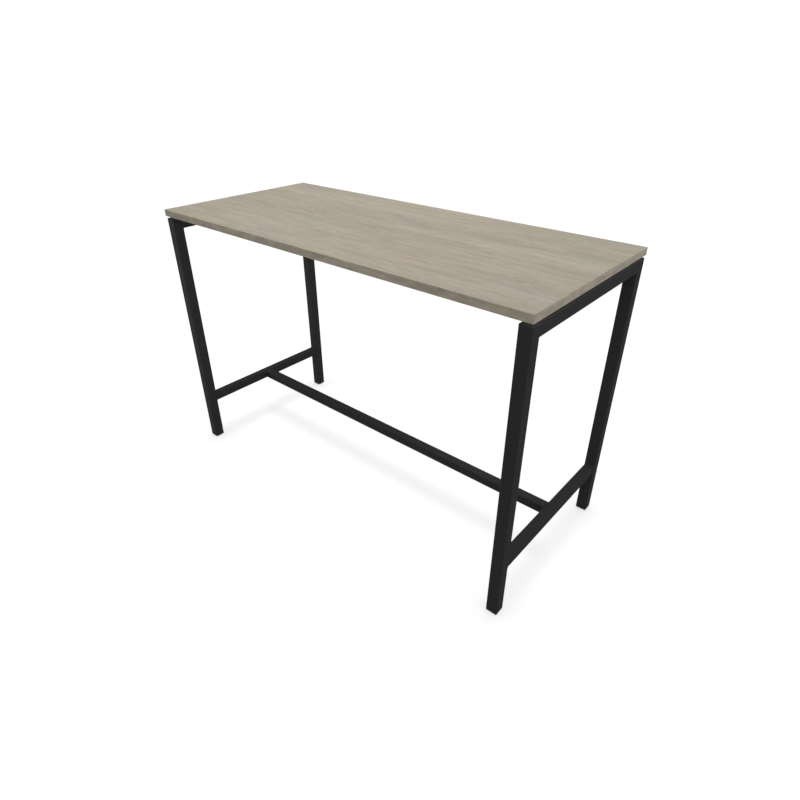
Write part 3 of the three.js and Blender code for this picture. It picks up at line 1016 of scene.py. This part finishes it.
# Soft lamps: place, aim, width and depth in metres, power, and what they light
SOFT_LAMPS = {
    "overhead_lamp": ((-0.05, 0.1, 3.4), (-0.05, 0.1, 1.0), (3.0, 0.8), 25.3, "whole_table"),
    "right_lamp": ((9.0, 0.3, 1.2), (0.0, 0.2, 0.7), (3.0, 3.0), 61.0, "whole_table"),
    "left_lamp": ((-2.2, -1.2, 0.75), (-0.7, 0.0, 0.65), (1.2, 1.2), 18.5, "steel_frame"),
    "fill_lamp": ((0.7, 0.0, 0.88), (-0.8, 0.0, 0.68), (0.5, 0.2), 4.4, "far_end_and_stretcher"),
    "high_lamp": ((1.5, 0.0, 3.0), (0.78, 0.0, 0.2), (1.2, 1.2), 20.0, "steel_frame"),
}

# Lamps straight above: strength, spread, what they light, what shades it, and bounces of their light
MANY_BOUNCES = 1024
DOWNWARD_LAMPS = {
    "contact_lamp": (3.4, math.radians(26), "lit_floor", "near_floor", MANY_BOUNCES),
    "halo_lamp": (1.3, math.radians(26), "lit_floor", "legs", 0),
    "gap_lamp": (1.7, math.radians(10), "below_top", "steel_frame", MANY_BOUNCES),
}
DOWNWARD_LAMP_HEIGHT = 4.0

# Groups of pieces by the start of their names
NAMED_GROUPS = {
    "near_floor": ("leg_", "foot_", "stretcher"),
    "legs": ("leg_",),
    "below_top": ("leg_front", "leg_rear", "top_rail", "mitre"),
}
FAR_END = ("_left", "stretcher")


def group_of(name, members):
    group = bpy.data.collections.new(name)
    for member in members:
        group.objects.link(member)
    return group


def light_groups(floor):
    table_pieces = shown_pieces()
    steel_pieces = [piece for piece in table_pieces if COAT in list(piece.data.materials)]
    far_end = [piece for piece in steel_pieces if piece.name.endswith(FAR_END)]
    groups = {
        "whole_table": group_of("whole_table", table_pieces),
        "steel_frame": group_of("steel_frame", steel_pieces),
        "far_end_and_stretcher": group_of("far_end_and_stretcher", far_end),
        "lit_floor": group_of("lit_floor", [floor]),
    }
    for name, starts in NAMED_GROUPS.items():
        groups[name] = group_of(name, [piece for piece in table_pieces if piece.name.startswith(starts)])
    return groups


def soft_lamp(name, place, aim, size, power, lit):
    lamp = bpy.data.lights.new(name, "AREA")
    lamp.shape = "RECTANGLE"
    lamp.size, lamp.size_y = size
    lamp.energy = power
    made = bpy.data.objects.new(name, lamp)
    made.location = place
    made.rotation_euler = (Vector(aim) - Vector(place)).to_track_quat("-Z", "Y").to_euler()
    made.visible_camera = False
    made.light_linking.receiver_collection = lit
    bpy.context.collection.objects.link(made)


def downward_lamp(name, strength, spread, lit, shading, bounces):
    lamp = bpy.data.lights.new(name, "SUN")
    lamp.energy = strength
    lamp.angle = spread
    lamp.cycles.max_bounces = bounces
    made = bpy.data.objects.new(name, lamp)
    made.location.z = DOWNWARD_LAMP_HEIGHT
    made.light_linking.receiver_collection = lit
    made.light_linking.blocker_collection = shading
    bpy.context.collection.objects.link(made)


groups = light_groups(floor)
for name, (place, aim, size, power, lit) in SOFT_LAMPS.items():
    soft_lamp(name, place, aim, size, power, groups[lit])
for name, (strength, spread, lit, shading, bounces) in DOWNWARD_LAMPS.items():
    downward_lamp(name, strength, spread, groups[lit], groups[shading], bounces)


# Camera

CAMERA_PLACE = Vector((1.3569, -1.4712, 1.5599))
CAMERA_AIM = Vector((0.2195, -0.1476, 0.5))
CAMERA_ROLL = math.radians(-0.106)
CAMERA_LENS = 25.645
CAMERA_SENSOR = 36.0
CAMERA_NEAR = 0.01


def photo_camera():
    data = bpy.data.cameras.new("camera")
    data.lens = CAMERA_LENS
    data.sensor_width = CAMERA_SENSOR
    data.clip_start = CAMERA_NEAR
    camera = bpy.data.objects.new("camera", data)
    bpy.context.collection.objects.link(camera)
    upright = (CAMERA_AIM - CAMERA_PLACE).to_track_quat("-Z", "Y").to_matrix().to_4x4()
    camera.matrix_world = Matrix.Translation(CAMERA_PLACE) @ upright @ Matrix.Rotation(CAMERA_ROLL, 4, "Z")
    bpy.context.scene.camera = camera


photo_camera()
bpy.context.scene.view_settings.view_transform = "Standard"
